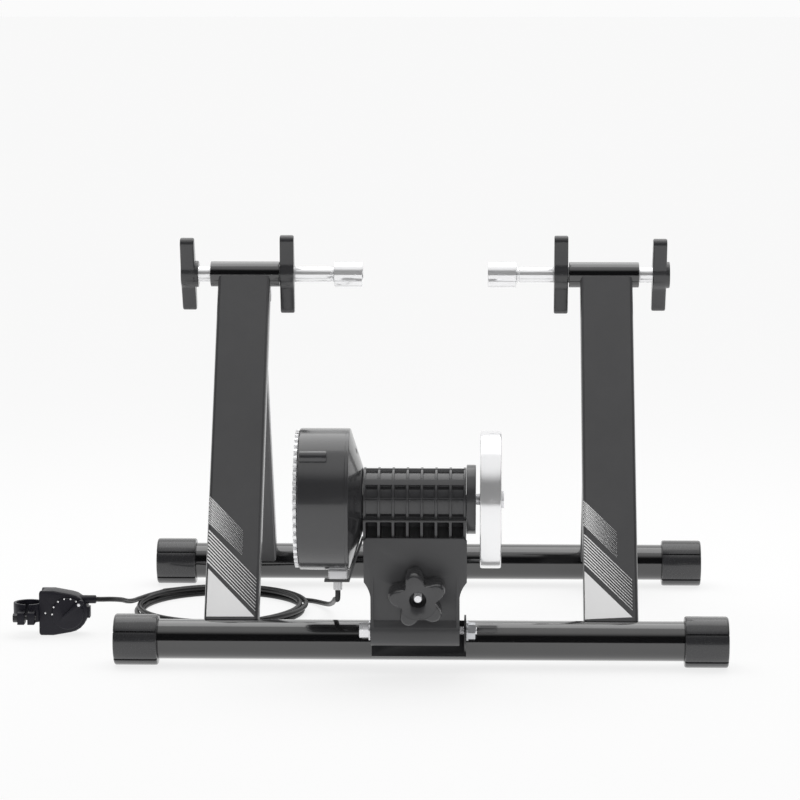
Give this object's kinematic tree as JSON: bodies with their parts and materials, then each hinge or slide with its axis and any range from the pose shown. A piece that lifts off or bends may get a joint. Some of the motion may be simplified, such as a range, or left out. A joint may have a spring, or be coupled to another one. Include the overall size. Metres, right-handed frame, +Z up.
{
  "type": "bike trainer",
  "caption": "Folding magnetic bicycle trainer: two leaning frames on floor tubes, screw clamps for the rear axle, a tilting roller and flywheel unit, and a cable remote.",
  "frame": {"origin": "centre of the bounding box on the floor, without the free cable", "axes": "+X along the floor tubes, to the right seen from behind; +Y forwards, from the roller unit towards the front floor tube; +Z up"},
  "size_m": [0.703, 0.5455, 0.3943],
  "materials": {
    "black_paint": "gloss black powder coat",
    "bracket_black": "satin black",
    "knob_plastic": "satin moulded black",
    "housing_plastic": "satin moulded black",
    "foot_rubber": "satin black",
    "chrome": "polished",
    "zinc": "bright zinc plate",
    "bearing_steel": "ground",
    "flywheel_steel": "turned and polished",
    "cast_aluminium": "fine cast, turned rim",
    "roller_rubber": "matt",
    "magnet": "dull dark plate",
    "grey_plastic": "light grey, satin",
    "remote_plastic": "semi-gloss black",
    "cable_rubber": "smooth black outer"
  },
  "bodies": {
    "rear_frame": {"rear_floor_tube": "black_paint", "rear_upright_left": "black_paint", "rear_upright_right": "black_paint", "axle_sleeve_left": "black_paint", "axle_sleeve_right": "black_paint", "fold_bracket_left": "black_paint", "fold_bracket_right": "black_paint", "fold_bolt_left": "zinc", "fold_bolt_right": "zinc", "fold_nut_left": "zinc", "fold_nut_right": "zinc", "pivot_clevis": "black_paint", "pivot_bolt": "zinc", "pivot_nut": "zinc", "tension_stud": "zinc", "remote_body": "remote_plastic", "remote_clamp": "remote_plastic", "remote_clamp_bolt": "bracket_black", "cable_unit_lead": "cable_rubber", "cable_coil": "cable_rubber", "cable_remote_lead": "cable_rubber"},
    "front_frame": {"front_floor_tube": "black_paint", "front_upright_left": "black_paint", "front_upright_right": "black_paint", "fold_bush_left": "zinc", "fold_bush_right": "zinc"},
    "resistance_unit": {"unit_bracket": "bracket_black", "roller_housing": "housing_plastic", "end_flange": "housing_plastic", "drum_casing": "housing_plastic", "bearing_left": "bearing_steel", "bearing_right": "bearing_steel", "cable_stop_block": "grey_plastic", "cable_stop_bracket": "bracket_black", "cable_adjuster": "grey_plastic"},
    "rotor": {"shaft": "bearing_steel", "tyre_roller": "roller_rubber", "finned_disc": "cast_aluminium", "flywheel": "flywheel_steel", "flywheel_nut": "zinc"},
    "magnet_turn": {"magnet_carrier": "housing_plastic", "magnet_ring": "magnet"},
    "tension_washer": {"tension_washer": "zinc"},
    "tension_knob": {"tension_knob": "knob_plastic"},
    "remote_lever": {"remote_lever": "remote_plastic"},
    "foot_rear_left": {"foot_rear_left": "foot_rubber"},
    "foot_front_left": {"foot_front_left": "foot_rubber"},
    "axle_cup_left": {"cup_left": "chrome"},
    "spindle_turn_left": {"spindle_left": "chrome", "clamp_knob_left": "knob_plastic"},
    "lock_turn_left": {"lock_knob_left": "knob_plastic"},
    "foot_rear_right": {"foot_rear_right": "foot_rubber"},
    "foot_front_right": {"foot_front_right": "foot_rubber"},
    "axle_cup_right": {"cup_right": "chrome"},
    "spindle_turn_right": {"spindle_right": "chrome", "clamp_knob_right": "knob_plastic"},
    "lock_turn_right": {"lock_knob_right": "knob_plastic"}
  },
  "joints": [
    {"name": "front_fold", "type": "hinge", "parent": "rear_frame", "child": "front_frame", "pos_m": [0.059, 0.05105, 0.3325], "axis": [1, 0, 0], "range_deg": [-59, 0], "deforming": ["cable_unit_lead", "cable_coil", "cable_remote_lead"]},
    {"name": "foot_rear_left_turn", "type": "hinge", "parent": "rear_frame", "child": "foot_rear_left", "pos_m": [-0.21275, -0.17295, 0.025], "axis": [1, 0, 0], "range_deg": [-144, 144]},
    {"name": "foot_rear_right_turn", "type": "hinge", "parent": "rear_frame", "child": "foot_rear_right", "pos_m": [0.33075, -0.17295, 0.025], "axis": [1, 0, 0], "range_deg": [-144, 144]},
    {"name": "foot_front_left_turn", "type": "hinge", "parent": "front_frame", "child": "foot_front_left", "pos_m": [-0.21275, 0.24705, 0.025], "axis": [1, 0, 0], "range_deg": [-144, 144]},
    {"name": "foot_front_right_turn", "type": "hinge", "parent": "front_frame", "child": "foot_front_right", "pos_m": [0.33075, 0.24705, 0.025], "axis": [1, 0, 0], "range_deg": [-144, 144]},
    {"name": "cup_left_slide", "type": "slide", "parent": "rear_frame", "child": "axle_cup_left", "axis": [1, 0, 0], "range_m": [-0.03, 0.012]},
    {"name": "spindle_left_turn", "type": "hinge", "parent": "axle_cup_left", "child": "spindle_turn_left", "pos_m": [-0.0038, 0.03705, 0.3555], "axis": [1, 0, 0], "range_deg": [-5400, 2160]},
    {"name": "lock_left_turn", "type": "hinge", "parent": "rear_frame", "child": "lock_turn_left", "pos_m": [-0.0713, 0.03705, 0.3555], "axis": [1, 0, 0], "range_deg": [-720, 720]},
    {"name": "cup_right_slide", "type": "slide", "parent": "rear_frame", "child": "axle_cup_right", "axis": [1, 0, 0], "range_m": [-0.012, 0.03]},
    {"name": "spindle_right_turn", "type": "hinge", "parent": "axle_cup_right", "child": "spindle_turn_right", "pos_m": [0.1218, 0.03705, 0.3555], "axis": [1, 0, 0], "range_deg": [-2160, 5400]},
    {"name": "lock_right_turn", "type": "hinge", "parent": "rear_frame", "child": "lock_turn_right", "pos_m": [0.1893, 0.03705, 0.3555], "axis": [1, 0, 0], "range_deg": [-720, 720]},
    {"name": "unit_tilt", "type": "hinge", "parent": "rear_frame", "child": "resistance_unit", "pos_m": [0.059, -0.20895, 0.0416], "axis": [1, 0, 0], "range_deg": [0, 11.86], "deforming": ["cable_unit_lead"]},
    {"name": "washer_slide", "type": "slide", "parent": "rear_frame", "child": "tension_washer", "axis": [0, -0.9744, -0.225], "range_m": [0, 0.0125]},
    {"name": "tension_knob_turn", "type": "hinge", "parent": "tension_washer", "child": "tension_knob", "pos_m": [0.0577, -0.22523, 0.08546], "axis": [0, -0.9744, -0.225], "range_deg": [0, 3400]},
    {"name": "rotor_spin", "type": "hinge", "parent": "resistance_unit", "child": "rotor", "pos_m": [0.059, -0.20595, 0.1665], "axis": [1, 0, 0], "continuous": true},
    {"name": "magnet_carrier_turn", "type": "hinge", "parent": "resistance_unit", "child": "magnet_turn", "pos_m": [-0.021, -0.20595, 0.1665], "axis": [1, 0, 0], "range_deg": [0, 30]},
    {"name": "remote_lever_turn", "type": "hinge", "parent": "rear_frame", "child": "remote_lever", "pos_m": [-0.2958, -0.02995, 0.0225], "axis": [0, -1, 0], "range_deg": [0, 105]}
  ],
  "couplings": [
    {"joint": "spindle_left_turn", "follows": "cup_left_slide", "rad_per_m": 3141.6},
    {"joint": "spindle_right_turn", "follows": "cup_right_slide", "rad_per_m": 3141.6},
    {"joint": "tension_knob_turn", "follows": "unit_tilt", "ratio": 286.5},
    {"joint": "washer_slide", "follows": "unit_tilt", "m_per_rad": 0.056997},
    {"joint": "remote_lever_turn", "follows": "magnet_carrier_turn", "ratio": 3.5}
  ]
}
